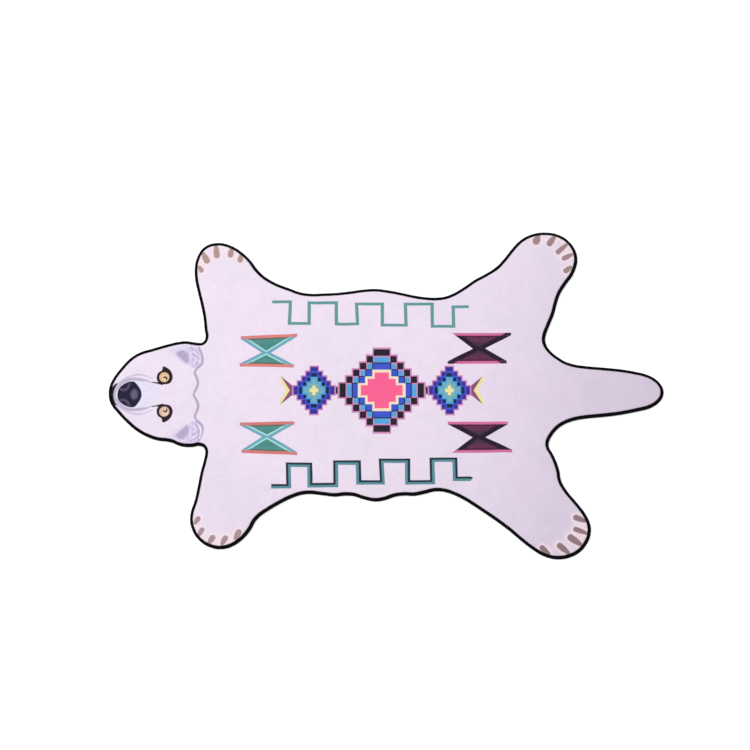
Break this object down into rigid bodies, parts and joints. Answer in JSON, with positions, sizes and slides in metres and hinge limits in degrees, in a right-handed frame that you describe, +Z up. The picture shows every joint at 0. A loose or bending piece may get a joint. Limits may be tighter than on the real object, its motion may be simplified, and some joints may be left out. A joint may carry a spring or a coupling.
{
  "type": "animal shaped floor rug",
  "caption": "Flat short-pile floor rug cut in the outline of a bear skin with head, paws and tail, its raw edge bound in a folded black tape.",
  "frame": {"origin": "on the floor under the middle of the rug's length and width", "axes": "+X along the spine from head to tail, +Y to the animal's right side, +Z up out of the pile"},
  "size_m": [1.4998, 0.8938, 0.008],
  "materials": {
    "pile": "short sheared pile, pale pink-lilac, printed with rug motifs",
    "edge_tape": "black woven tape folded over the edge and stitched"
  },
  "bodies": {
    "root": {"mat": "pile", "edge_tape": "edge_tape"}
  },
  "joints": []
}
